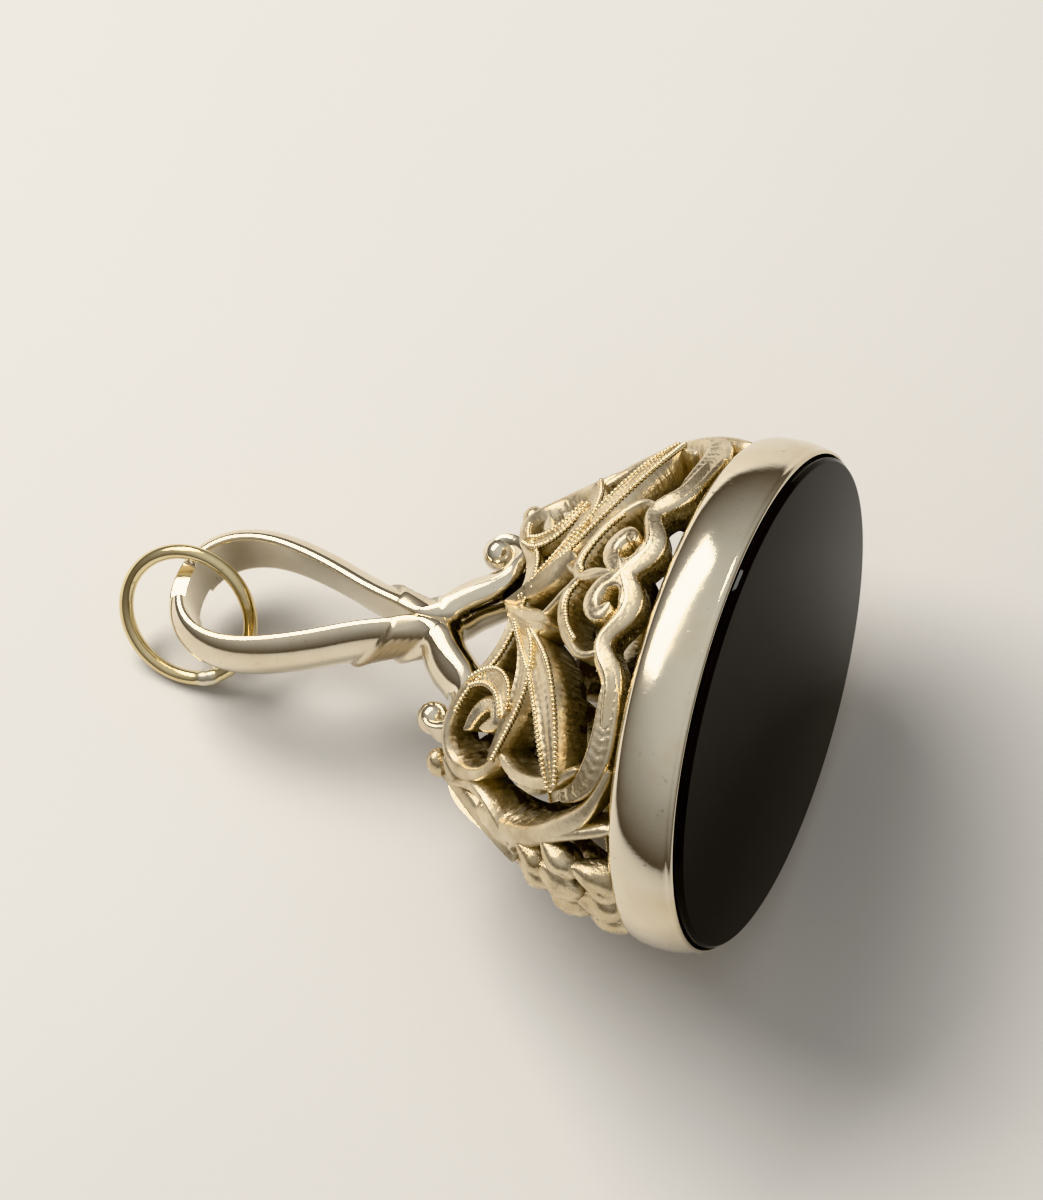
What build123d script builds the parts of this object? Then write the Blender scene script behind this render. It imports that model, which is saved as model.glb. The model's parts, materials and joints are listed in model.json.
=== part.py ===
from build123d import *
from collections import namedtuple
import math
import os

# Seal fob of oval onyx in a gold mount, sizes in millimetres and degrees.
# It is built standing on its stone: X along the oval's short axis, Y along
# its long axis and Z from the stone's face up to the bow. The last step
# lays it down as it rests on a table.

# Stone: an oval tablet with a thin bevel round its polished face
stone_length = 22.0
stone_width = 17.5
stone_depth = 2.1
stone_bevel = 0.15
stone_gap = 0.06

# Collar: the polished band round the stone and the ledge behind it
collar_height = 2.9
collar_swell = 0.5
lip_drop = 0.35
ledge_width = 1.5

# Basket: the pierced dome of scrolls between the collar and the bow
basket_height = 9.9
rib_width = 0.75
rib_depth = 1.6
leaf_width = 1.15
leaf_relief = 0.22
strip_width = 1.3
volute_wire = 0.6
berry_diameter = 1.5
ball_diameter = 1.2
ball_sink = 0.2

# Bow: two straps that meet at the neck, with a curled foot each
bow_height = 12.75
neck_height = 2.45
bow_half_width = 2.9
strap_thickness = 1.0
strap_width = 2.8
foot_width = 2.6
foot_spread = 4.3
curl_diameter = 1.3
ridge_width = 0.4
ridge_slant = 35.0
edge_round = 0.3
bow_lean = 3.4
waist_depth = 0.4
waist_length = 1.5

# Jump ring: round wire, lying aslant through the bow
ring_wire = 0.6
ring_inner = 5.5
joint_wire = 0.7
joint_length = 0.7
joint_turn = -110.0
ring_roll = 49.0
ring_pitch = 6.0
ring_inset = 0.35
ring_side = 1.0
ring_drop = 0.35

# Fineness of the search for the tilt at which the fob rests
surface_step = 0.02
tilt_step = 0.0005

half_length = stone_length / 2
half_width = stone_width / 2
collar_top = lip_drop + collar_height
shoulder = collar_top + basket_height
neck = shoulder + neck_height
tip = neck + bow_height

# Swell of the collar, as shares of its height and of its swell
Band = namedtuple("Band", "up out")
COLLAR = [
    Band(0.00, 0.45),
    Band(0.15, 0.80),
    Band(0.45, 1.00),
    Band(0.75, 0.80),
    Band(1.00, 0.30),
]

# Outline of the dome, as shares of the basket's height and the oval's halves
Section = namedtuple("Section", "up long short")
DOME = [
    Section(-0.04, 1.005, 1.005),
    Section(0.13, 0.998, 1.005),
    Section(0.28, 0.970, 0.955),
    Section(0.43, 0.918, 0.830),
    Section(0.58, 0.845, 0.665),
    Section(0.79, 0.723, 0.470),
    Section(1.00, 0.580, 0.345),
]

# Scrolls of a broad side, on the half towards +Y: across is a share of the
# oval's half length, up a share of the basket's height and width a share of
# the rib's width
Point = namedtuple("Point", "across up width")
SHOULDER_SCROLL = [
    Point(-0.03, 0.770, 1.0),
    Point(0.13, 0.800, 1.0),
    Point(0.28, 0.890, 0.9),
    Point(0.40, 0.945, 0.9),
    Point(0.51, 0.945, 1.0),
    Point(0.58, 0.865, 1.1),
    Point(0.605, 0.750, 1.0),
    Point(0.585, 0.645, 0.7),
]
UPPER_LEAF = [
    Point(0.05, 0.760, 0.5),
    Point(0.12, 0.680, 0.6),
    Point(0.22, 0.600, 0.8),
    Point(0.33, 0.566, 1.0),
    Point(0.43, 0.576, 1.0),
    Point(0.52, 0.610, 0.75),
    Point(0.60, 0.650, 0.4),
]
LOWER_LEAF = [
    Point(0.08, 0.700, 0.5),
    Point(0.18, 0.600, 0.7),
    Point(0.29, 0.500, 0.9),
    Point(0.38, 0.430, 1.0),
    Point(0.47, 0.372, 1.0),
    Point(0.56, 0.332, 0.9),
    Point(0.65, 0.306, 0.7),
    Point(0.72, 0.295, 0.45),
]
LEAF_LINK = [
    Point(0.59, 0.635, 0.6),
    Point(0.655, 0.560, 0.8),
    Point(0.695, 0.480, 0.9),
    Point(0.715, 0.400, 1.0),
    Point(0.715, 0.320, 0.9),
    Point(0.700, 0.250, 0.8),
    Point(0.665, 0.180, 0.8),
]
HEART_SCROLL = [
    Point(0.03, 0.350, 0.6),
    Point(0.035, 0.420, 0.8),
    Point(0.080, 0.465, 1.0),
    Point(0.150, 0.470, 1.1),
    Point(0.225, 0.425, 1.2),
    Point(0.290, 0.355, 1.2),
    Point(0.330, 0.280, 1.1),
    Point(0.345, 0.205, 1.0),
    Point(0.310, 0.155, 0.8),
]
VOLUTE = [
    Point(0.03, 0.210, 1.0),
    Point(0.060, 0.265, 1.0),
    Point(0.115, 0.285, 1.0),
    Point(0.170, 0.260, 1.0),
    Point(0.200, 0.205, 1.0),
    Point(0.170, 0.165, 1.1),
]
WAVY_BORDER = [
    Point(-0.03, 0.185, 1.1),
    Point(0.09, 0.130, 1.0),
    Point(0.17, 0.165, 1.0),
    Point(0.24, 0.185, 1.0),
    Point(0.31, 0.130, 1.0),
    Point(0.39, 0.080, 1.1),
    Point(0.50, 0.085, 1.3),
    Point(0.60, 0.100, 1.3),
    Point(0.67, 0.160, 1.1),
]
STEM = [
    Point(0.00, 0.790, 1.4),
    Point(0.025, 0.680, 1.2),
    Point(0.030, 0.570, 0.8),
    Point(0.040, 0.450, 0.7),
]
CORNER_SCROLL = [
    Point(0.590, 0.945, 1.0),
    Point(0.690, 0.800, 1.0),
    Point(0.770, 0.610, 1.0),
    Point(0.820, 0.430, 1.0),
    Point(0.830, 0.280, 1.1),
    Point(0.795, 0.160, 1.2),
    Point(0.730, 0.060, 1.1),
]

# Strip up the middle of a narrow end: across is a share of the half width
END_STRIP = [
    Point(0.00, 0.960, 0.7),
    Point(0.00, 0.700, 0.8),
    Point(0.00, 0.450, 1.0),
    Point(0.00, 0.200, 1.3),
    Point(0.00, 0.000, 1.5),
]
END_SPRAY = [
    Point(0.00, 0.500, 0.6),
    Point(0.13, 0.400, 0.8),
    Point(0.24, 0.270, 0.8),
    Point(0.33, 0.120, 0.9),
    Point(0.38, 0.000, 1.0),
]

# Edge of the narrow end: short is a share of the half width
Edge = namedtuple("Edge", "short up")
END_EDGE = [
    Edge(0.67, -0.05),
    Edge(0.50, 0.18),
    Edge(0.34, 0.37),
    Edge(0.17, 0.59),
    Edge(0.02, 0.83),
    Edge(0.00, 1.20),
]

# Beads on the broad side and on the narrow end, as shares of the halves
Bead = namedtuple("Bead", "across up size")
BROAD_BEADS = [
    Bead(0.00, 0.190, 0.75),
    Bead(0.185, 0.150, 0.8),
    Bead(0.655, 0.165, 0.65),
]
END_BEADS = [
    Bead(0.00, 0.380, 0.9),
    Bead(0.00, 0.230, 1.0),
    Bead(0.15, 0.130, 0.9),
    Bead(-0.15, 0.130, 0.9),
    Bead(0.00, 0.070, 0.8),
]

# Centre line of a strap above the neck, from the neck to the tip
Strap = namedtuple("Strap", "out up thick")
LOOP = [
    Strap(0.17, 0.00, 0.8),
    Strap(0.235, 0.11, 0.9),
    Strap(0.40, 0.25, 1.0),
    Strap(0.655, 0.41, 1.0),
    Strap(0.90, 0.585, 1.0),
    Strap(1.00, 0.74, 1.0),
    Strap(0.87, 0.88, 1.0),
    Strap(0.52, 0.97, 1.0),
    Strap(0.00, 1.00, 1.0),
]

# Heights of the slanting leaf ridges on a strap, as shares of the bow
RIDGES = (0.145, 0.275)

# Centre line of a foot, as shares of its spread and of the neck's height
FOOT = [
    Strap(0.13, 1.60, 1.0),
    Strap(0.13, 1.00, 1.2),
    Strap(0.275, 0.735, 1.5),
    Strap(0.455, 0.36, 1.6),
    Strap(0.62, 0.095, 1.5),
    Strap(0.79, 0.025, 1.35),
    Strap(0.94, 0.16, 1.2),
    Strap(1.00, 0.42, 1.0),
]


def ribbon(centres, widths):
    """Flat face along a row of points, with round ends"""
    ends = [centres[0] * 2 - centres[1]] + centres + [centres[-1] * 2 - centres[-2]]
    ways = [(after - before).normalized() for before, after in zip(ends, ends[2:])]
    sides = [Vector(-way.Y, way.X) for way in ways]
    left = [c + s * (w / 2) for c, s, w in zip(centres, sides, widths)]
    right = [c - s * (w / 2) for c, s, w in zip(centres, sides, widths)]
    start = centres[0] - ways[0] * (widths[0] / 2)
    end = centres[-1] + ways[-1] * (widths[-1] / 2)
    outline = [
        Spline(*left),
        ThreePointArc(left[-1], end, right[-1]),
        Spline(*reversed(right)),
        ThreePointArc(right[0], start, left[0]),
    ]
    return make_face(outline)


def scroll(table, reach, width, side=1):
    """Ribbon of a basket scroll, drawn flat"""
    centres = [Vector(side * p.across * reach, collar_top + p.up * basket_height) for p in table]
    return ribbon(centres, [p.width * width for p in table])


def oval(long, short, height):
    """Oval of the given halves at a height"""
    return Plane.XY.offset(height) * Ellipse(short, long)


def dome(grow):
    """Solid dome, grown outward from the basket's outline"""
    sections = []
    for row in DOME:
        height = collar_top + row.up * basket_height
        sections.append(oval(row.long * half_length + grow, row.short * half_width + grow, height))
    return loft(sections)


def dome_halves(up):
    """Long and short half of the dome at a share of its height"""
    for low, high in zip(DOME, DOME[1:]):
        if up <= high.up:
            break
    share = (up - low.up) / (high.up - low.up)
    long = low.long + share * (high.long - low.long)
    short = low.short + share * (high.short - low.short)
    return long * half_length, short * half_width


def wall_bead(bead, size, on_end):
    """Round bead sunk a little into the dome, on a broad side or on a narrow end"""
    long, short = dome_halves(bead.up)
    height = collar_top + bead.up * basket_height
    if on_end:
        x = bead.across * half_width
        y = long * math.sqrt(1 - (x / short) ** 2) - ball_sink
    else:
        y = bead.across * half_length
        x = short * math.sqrt(1 - (y / long) ** 2) - ball_sink
    return Pos(x, y, height) * Sphere(size * bead.size / 2)


def make_stone():
    """Oval tablet of onyx"""
    girdle = oval(half_length, half_width, stone_bevel)
    face = oval(half_length - stone_bevel, half_width - stone_bevel, 0)
    slab = extrude(girdle, amount=stone_depth - stone_bevel)
    return slab + loft([face, girdle], ruled=True)


def make_collar():
    """Domed band round the stone, with the ledge that the stone sits on"""
    rims = []
    for row in COLLAR:
        grow = row.out * collar_swell
        rims.append(oval(half_length + grow, half_width + grow, lip_drop + row.up * collar_height))
    band = loft(rims)
    ledge = stone_depth + stone_gap
    pocket = extrude(oval(half_length + stone_gap, half_width + stone_gap, 0), amount=ledge)
    inside = extrude(oval(half_length - ledge_width, half_width - ledge_width, 0), amount=2 * collar_top)
    return band - pocket - inside


def pierce(outer, inner, faces, plane, reach):
    """What a row of ribbons leaves of the wall between two domes"""
    pattern = extrude(plane * (Sketch() + faces), amount=reach, both=True)
    return (pattern & outer) - inner


def end_mask():
    """Prism along Y that covers the narrow ends"""
    right = [(row.short * half_width, collar_top + row.up * basket_height) for row in END_EDGE]
    left = [(-x, z) for x, z in reversed(right[:-1])]
    return extrude(Plane.XZ * make_face(Polyline(*right, *left, close=True)), amount=stone_length, both=True)


def make_basket():
    """Pierced dome with its raised leaves and beads"""
    outer = dome(0)
    inner = dome(-rib_depth)
    ribs = []
    leaves = []
    for side in (1, -1):
        for table in (SHOULDER_SCROLL, LEAF_LINK, HEART_SCROLL, WAVY_BORDER, CORNER_SCROLL):
            ribs.append(scroll(table, half_length, rib_width, side))
        ribs.append(scroll(VOLUTE, half_length, volute_wire, side))
        for table in (UPPER_LEAF, LOWER_LEAF):
            leaves.append(scroll(table, half_length, leaf_width, side))
    ribs.append(scroll(STEM, half_length, rib_width))
    ends = [scroll(END_STRIP, half_width, strip_width)]
    for side in (1, -1):
        ends.append(scroll(END_SPRAY, half_width, rib_width, side))
    broad = pierce(outer, inner, ribs, Plane.YZ, stone_width) - end_mask()
    proud = pierce(dome(leaf_relief), inner, leaves, Plane.YZ, stone_width)
    narrow = pierce(outer, inner, ends, Plane.XZ, stone_length)
    beads = [wall_bead(bead, ball_diameter, False) for bead in BROAD_BEADS + mirrored(BROAD_BEADS)]
    beads += [wall_bead(bead, berry_diameter, True) for bead in END_BEADS]
    beads += [Rot(0, 0, 180) * bead for bead in beads]
    return [broad, proud, narrow] + beads


def mirrored(beads):
    """The beads that lie off the middle, on the other side of it"""
    return [bead._replace(across=-bead.across) for bead in beads if bead.across > 0]


def lean(point):
    """Point of the bow, turned about the neck as the loop leans"""
    angle = math.radians(bow_lean)
    y = point.X
    z = point.Y - neck
    if z <= 0:
        return point
    return Vector(y * math.cos(angle) - z * math.sin(angle), neck + z * math.cos(angle) + y * math.sin(angle))


def upright(face, width):
    """Flat face of the bow, made as wide as its strap, with rounded edges"""
    strap = extrude(Plane.YZ * face, amount=width / 2, both=True)
    rims = [edge for edge in strap.edges() if abs(abs(edge.center().X) - width / 2) < 0.01]
    return fillet(rims, min(edge_round, strap_thickness / 3))


def make_loop():
    """Pear-shaped loop, from one side of the neck over the tip to the other"""
    right = [(p.out, p.up, p.thick) for p in LOOP]
    left = [(-out, up, thick) for out, up, thick in reversed(right[:-1])]
    rows = right + left
    centres = [lean(Vector(out * bow_half_width, neck + up * bow_height)) for out, up, thick in rows]
    loop = upright(ribbon(centres, [thick * strap_thickness for out, up, thick in rows]), strap_width)
    radius = (waist_length ** 2 / 4 + waist_depth ** 2) / (2 * waist_depth)
    crown = lean(Vector(0, tip))
    for side in (1, -1):
        x = side * (strap_width / 2 - waist_depth + radius)
        loop -= Pos(x, crown.X, crown.Y) * Cylinder(radius, 4 * strap_thickness)
    return loop


def make_ridges(side):
    """Slanting ridges on the outer face of a strap, where its leaf folds over"""
    ridges = []
    length = strap_width / math.cos(math.radians(ridge_slant))
    for height in RIDGES:
        for low, high in zip(LOOP, LOOP[1:]):
            if height <= high.up:
                break
        share = (height - low.up) / (high.up - low.up)
        out = low.out + share * (high.out - low.out)
        rise = Vector(side * (high.out - low.out) * bow_half_width, (high.up - low.up) * bow_height)
        slope = math.degrees(math.atan2(rise.X, rise.Y)) - bow_lean
        middle = lean(Vector(side * out * bow_half_width, neck + height * bow_height))
        bar = Rot(0, ridge_slant, 0) * Box(length, ridge_width, ridge_width)
        bar = Pos(0, side * strap_thickness / 2, 0) * bar
        ridges.append(Pos(0, middle.X, middle.Y) * Rot(-slope, 0, 0) * bar)
    return ridges


def make_foot(side):
    """Strap from the neck down to the basket, with its curled end and ridges"""
    centres = [Vector(side * p.out * foot_spread, shoulder + p.up * neck_height) for p in FOOT]
    foot = upright(ribbon(centres, [p.thick * strap_thickness for p in FOOT]), foot_width)
    curl = Pos(0, centres[-1].X, centres[-1].Y) * Sphere(curl_diameter / 2)
    return [foot, curl]


def make_ring():
    """Jump ring with the soldered joint in its wire"""
    radius = (ring_inner + ring_wire) / 2
    span = math.degrees(joint_length / radius)
    joint = revolve(Plane.XZ * Pos(radius, 0) * Circle(joint_wire / 2), Axis.Z, -span)
    wire = revolve(Plane.XZ * Pos(radius, 0) * Circle(ring_wire / 2), Axis.Z, 360 - span)
    return Rot(0, 0, joint_turn) * (wire + joint)


def ring_seat():
    """Place of the ring's centre, beside the tip of the bow"""
    seat = lean(Vector(-ring_side, tip - ring_inset))
    return Pos(-ring_drop, seat.X, seat.Y)


def hang_ring(ring):
    """Lay the ring aslant round the tip of the bow"""
    return ring_seat() * Rot(0, 0, -ring_roll) * Rot(0, 90 + ring_pitch, 0) * ring


def surface_points(solid):
    """Points all over the surface of a solid, as pairs of X and Z"""
    points, _ = solid.tessellate(surface_step)
    return [(point.X, point.Z) for point in points]


def lowest(points, tilt):
    """Level of the lowest of the points when the fob lies at a tilt"""
    angle = math.radians(tilt)
    return min(x * math.cos(angle) - z * math.sin(angle) for x, z in points)


def resting_tilt(mount, ring):
    """Dip of the bow at which the mount and the ring reach equally low"""
    mount_points = surface_points(mount)
    ring_points = surface_points(ring)
    low = 0
    high = 45
    while high - low > tilt_step:
        tilt = (low + high) / 2
        if lowest(ring_points, tilt) > lowest(mount_points, tilt):
            low = tilt
        else:
            high = tilt
    return tilt


def make_fob():
    """Build the fob, lay it down and write its parts"""
    bow = [make_loop()]
    for side in (1, -1):
        bow += make_foot(side) + make_ridges(side)
    ring = hang_ring(make_ring())
    fob = {
        "gold_mount": make_collar().fuse(*make_basket(), *bow),
        "onyx_stone": make_stone(),
        "jump_ring": ring,
    }
    tilt = resting_tilt(fob["gold_mount"], ring)
    laid = Rot(0, -90 - tilt, 0)
    boxes = [(laid * solid).bounding_box() for solid in fob.values()]
    low = [min(tuple(box.min)[axis] for box in boxes) for axis in range(3)]
    high = [max(tuple(box.max)[axis] for box in boxes) for axis in range(3)]
    place = Pos(-(low[0] + high[0]) / 2, -(low[1] + high[1]) / 2, -low[2]) * laid
    os.makedirs("parts", exist_ok=True)
    for name, solid in fob.items():
        placed = place * solid
        export_step(placed, f"parts/{name}.step")
        size = placed.bounding_box().size
        print(f"{name}: {placed.volume:.2f} mm3, {size.X:.2f} x {size.Y:.2f} x {size.Z:.2f} mm")
    print(f"tilt {tilt:.4f} degrees")
    print(f"centre of the stone's face {place.position}, of the ring {(place * ring_seat()).position}")
    print(f"ring clear of the bow by {ring.distance_to(bow[0]):.3f} mm")


make_fob()
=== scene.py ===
import json
import math

import bmesh
import bpy
import numpy as np
from mathutils import Matrix, Vector


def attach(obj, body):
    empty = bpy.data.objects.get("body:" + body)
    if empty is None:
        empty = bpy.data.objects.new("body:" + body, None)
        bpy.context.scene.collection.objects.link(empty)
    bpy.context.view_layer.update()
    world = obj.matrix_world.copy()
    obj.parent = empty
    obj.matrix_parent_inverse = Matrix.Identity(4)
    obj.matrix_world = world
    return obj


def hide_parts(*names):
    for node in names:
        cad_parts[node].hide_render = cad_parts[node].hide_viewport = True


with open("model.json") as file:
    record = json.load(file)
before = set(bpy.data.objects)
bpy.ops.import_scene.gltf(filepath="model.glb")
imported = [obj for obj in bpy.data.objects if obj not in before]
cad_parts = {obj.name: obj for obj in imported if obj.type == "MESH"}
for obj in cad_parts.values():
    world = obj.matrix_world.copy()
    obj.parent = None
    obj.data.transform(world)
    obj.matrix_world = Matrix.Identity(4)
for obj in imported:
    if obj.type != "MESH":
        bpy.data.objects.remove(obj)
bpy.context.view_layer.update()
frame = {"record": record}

# Seal fob of oval onyx in a gold mount. Shapes are worked out in millimetres
# in the fob's own frame: X along the oval's short axis, Y along its long axis
# and Z from the stone's face up to the bow. to_row() lays them down.
MM = 0.001

# Stone
stone_length = 22.0
stone_width = 17.5
stone_depth = 2.1
stone_bevel = 0.15
stone_edge = 0.03

# Collar
collar_height = 2.9
collar_swell = 0.5
lip_drop = 0.35
lip_width = 0.26
ledge_width = 1.5
stone_gap = 0.06

# Basket
basket_height = 9.9
rib_width = 0.75
rib_depth = 1.6
leaf_width = 1.15
leaf_relief = 0.22
strip_width = 1.3
volute_wire = 0.72
curl_width = 0.8
berry_rise = 0.78
berry_sink = 0.3
ball_diameter = 1.2
ball_sink = 0.2

# Ball on each shoulder: how far out it lies, its rise over the shoulder, and its halves
# across, out and up as shares of the diameter
shoulder_ball_out = 6.1
shoulder_ball_rise = 0.35
shoulder_ball_shape = np.array([0.75, 0.55, 0.5]) / 1.1

# Grains along an edge: size, spacing and halves along, across and outward as shares of the
# size, how far they sink into a leaf's rim, and where they lie across a leaf, as a share of
# its half width
grain_size = 0.23
grain_spacing = 0.84
grain_shape = (0.46, 0.62, 0.56)
grain_sink = 0.02
grain_side = 0.88

# Fine grooves across the metal: step, depth and slant, and the second, shorter step
groove_step = 0.34
groove_depth = 0.022
groove_slant = 0.7
groove_mix = 0.6
groove_second = 0.62

# Bow: the edge is a share of a strap's thickness, and the loop leans by degrees
bow_height = 12.75
neck_height = 2.45
bow_half_width = 2.9
strap_thickness = 1.0
strap_edge = 0.22
crown_power = 1.3
strap_width = 2.8
foot_spread = 4.3
curl_diameter = 1.5
bow_lean = 3.4
waist_depth = 0.4
waist_length = 1.9

# Folds of a strap: slant in degrees, height, length of the nose and of the fade behind it,
# and the run along a strap for a rise of one
fold_slant = 46.0
fold_height = 0.25
fold_nose = 0.30
fold_fade = 1.7
fold_run = 1.02

# Fine lines between the folds: their steps and their height
fold_line_steps = (0.38, 0.23)
fold_line_height = 0.011

# Rise of the crown over which a strap's section turns from domed to oval, and its limit inside
oval_crown = (1.1, 1.7)
inner_crown = 1.9

# Jump ring: its wire and soldered joint, then how it hangs in the bow: its turns in
# degrees and how far its centre lies in from the tip, beside it and below it
ring_wire = 0.66
ring_inner = 5.44
joint_wire = 0.78
joint_length = 1.3
joint_blend = 0.45
joint_turn = -71.0
ring_roll = 49.0
ring_pitch = 6.0
ring_inset = 0.35
ring_side = 1.0
ring_drop = 0.35

# Fineness of the meshes: steps in millimetres, then numbers of steps and points, and the
# turns of the rows in a scroll's round ends, in degrees
rib_step = 0.08
bow_step = 0.05
knot_steps = 60
oval_steps = 288
dome_steps = 500
strap_outer_points = 45
strap_inner_points = 9
ring_steps = 220
ring_around = 28
cap_turns = (30, 55, 74, 87)

# Angles in degrees over which an edge is sharp
sharp_basket = 50
sharp_collar = 60
sharp_stone = 20
sharp_bow = 60
sharp_ring = 70

half_length = stone_length / 2
half_width = stone_width / 2
collar_top = lip_drop + collar_height
shoulder = collar_top + basket_height
neck = shoulder + neck_height
tip = neck + bow_height

# Outline of the dome, as shares of the basket's height and the oval's halves
DOME = [
    (-0.04, 1.005, 1.005),
    (0.13, 0.998, 1.005),
    (0.28, 0.970, 0.955),
    (0.43, 0.918, 0.830),
    (0.58, 0.845, 0.665),
    (0.79, 0.723, 0.470),
    (1.00, 0.580, 0.345),
    (1.08, 0.530, 0.300),
]

# Scrolls of a broad side, on the half towards +Y: across is a share of the
# oval's half length, up a share of the basket's height and width a share of
# the scroll's own width
SHOULDER_SCROLL = [
    (-0.03, 0.770, 1.0),
    (0.08, 0.765, 1.0),
    (0.178, 0.785, 1.0),
    (0.262, 0.845, 0.9),
    (0.335, 0.925, 0.9),
    (0.400, 0.965, 1.0),
    (0.470, 0.985, 1.0),
    (0.545, 0.965, 1.0),
    (0.608, 0.895, 1.1),
    (0.640, 0.800, 1.2),
    (0.635, 0.700, 1.1),
    (0.600, 0.635, 0.8),
]
UPPER_LEAF = [
    (0.05, 0.760, 0.5),
    (0.12, 0.680, 0.6),
    (0.22, 0.600, 0.8),
    (0.33, 0.560, 0.9),
    (0.43, 0.565, 0.9),
    (0.52, 0.605, 0.7),
    (0.60, 0.650, 0.4),
]
LOWER_LEAF = [
    (0.08, 0.700, 0.5),
    (0.18, 0.605, 0.7),
    (0.25, 0.535, 0.85),
    (0.32, 0.470, 0.95),
    (0.41, 0.405, 1.0),
    (0.50, 0.355, 0.95),
    (0.586, 0.318, 0.85),
    (0.669, 0.286, 0.65),
    (0.735, 0.268, 0.4),
]
INNER_CURL = [
    (0.315, 0.880, 0.5),
    (0.300, 0.820, 0.8),
    (0.310, 0.750, 1.0),
    (0.345, 0.690, 1.0),
    (0.400, 0.645, 0.9),
    (0.460, 0.625, 0.6),
]
SMALL_VOLUTE = [
    (0.470, 0.880, 0.6),
    (0.415, 0.850, 0.9),
    (0.390, 0.800, 1.0),
    (0.415, 0.745, 1.0),
    (0.460, 0.730, 1.1),
    (0.480, 0.770, 0.8),
]
LEAF_LINK = [
    (0.590, 0.630, 0.7),
    (0.655, 0.555, 0.9),
    (0.705, 0.455, 1.0),
    (0.728, 0.360, 1.1),
    (0.727, 0.270, 1.1),
    (0.700, 0.190, 1.0),
]
HEART_SCROLL = [
    (0.000, 0.265, 0.8),
    (-0.010, 0.340, 0.9),
    (0.003, 0.415, 1.0),
    (0.045, 0.458, 1.0),
    (0.100, 0.465, 1.0),
    (0.170, 0.436, 1.0),
    (0.245, 0.382, 1.0),
    (0.308, 0.308, 1.0),
    (0.338, 0.240, 0.9),
    (0.328, 0.190, 0.8),
]
VOLUTE = [
    (0.105, 0.135, 0.8),
    (0.060, 0.145, 1.0),
    (0.030, 0.185, 1.15),
    (0.035, 0.235, 1.15),
    (0.070, 0.275, 1.15),
    (0.115, 0.288, 1.2),
    (0.156, 0.268, 1.2),
    (0.176, 0.232, 1.05),
    (0.155, 0.203, 0.8),
]
WAVY_BORDER = [
    (-0.020, 0.190, 1.2),
    (0.045, 0.145, 1.3),
    (0.095, 0.112, 1.5),
    (0.158, 0.108, 1.45),
    (0.225, 0.145, 1.15),
    (0.285, 0.172, 1.1),
    (0.335, 0.150, 1.25),
    (0.376, 0.112, 1.35),
    (0.426, 0.083, 1.3),
    (0.485, 0.072, 1.2),
    (0.550, 0.066, 1.0),
]
LADDER_BAND = [
    (0.400, 0.090, 0.8),
    (0.460, 0.078, 1.2),
    (0.540, 0.070, 1.35),
    (0.620, 0.070, 1.45),
    (0.690, 0.082, 1.5),
    (0.745, 0.112, 1.35),
    (0.785, 0.158, 1.0),
    (0.800, 0.205, 0.7),
]
STEM = [
    (0.110, 0.560, 0.8),
    (0.085, 0.525, 0.8),
    (0.055, 0.490, 0.8),
    (0.030, 0.452, 0.7),
]
APEX_FOLD = [
    (0.015, 0.795, 0.7),
    (0.060, 0.720, 1.3),
    (0.105, 0.635, 1.7),
    (0.138, 0.560, 1.3),
    (0.150, 0.515, 0.7),
]
CORNER_SCROLL = [
    (0.590, 0.965, 1.0),
    (0.655, 0.920, 1.0),
    (0.712, 0.845, 1.0),
    (0.762, 0.740, 1.1),
    (0.828, 0.570, 1.2),
    (0.864, 0.410, 1.35),
    (0.862, 0.270, 1.55),
    (0.832, 0.150, 1.6),
    (0.785, 0.085, 1.3),
    (0.700, 0.030, 1.0),
]
# How far the hearts and the border lie off the middle of a broad side, as a share of the
# half length
heart_shift = 0.035

# Ornament of a narrow end: across is a share of the half width
END_STRIP = [
    (0.00, 0.960, 0.5),
    (0.00, 0.850, 0.7),
    (0.00, 0.700, 0.6),
    (0.00, 0.560, 0.4),
]
END_LEAF = [
    (0.02, 0.930, 0.8),
    (0.13, 0.840, 0.9),
    (0.19, 0.730, 1.0),
    (0.18, 0.630, 0.9),
    (0.10, 0.545, 0.8),
]
END_SPRAY = [
    (0.10, 0.545, 0.6),
    (0.23, 0.480, 0.8),
    (0.34, 0.360, 0.9),
    (0.46, 0.200, 1.0),
    (0.54, 0.030, 1.1),
]

# Balls on a broad side: across, up and size, as shares of the half length, the
# basket's height and the ball's diameter
BROAD_BEADS = [(0.0, 0.195, 0.64)]

# Leafy lumps on a narrow end: across and up as shares of the half width and
# the basket's height, length and width in millimetres, and turn in degrees
END_BERRIES = [
    (-0.185, 0.070, 2.4, 2.0, 22),
    (0.000, 0.078, 2.6, 2.1, 5),
    (0.185, 0.060, 2.5, 2.0, -22),
    (-0.120, 0.262, 2.4, 2.0, 20),
    (0.065, 0.272, 2.6, 1.9, -12),
    (0.230, 0.250, 2.2, 1.4, -36),
    (-0.055, 0.430, 2.3, 1.6, 10),
    (0.100, 0.412, 2.0, 1.3, -24),
]
# How far the lumps lie off the middle of a narrow end, as a share of the half width
berry_shift = 0.07

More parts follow.
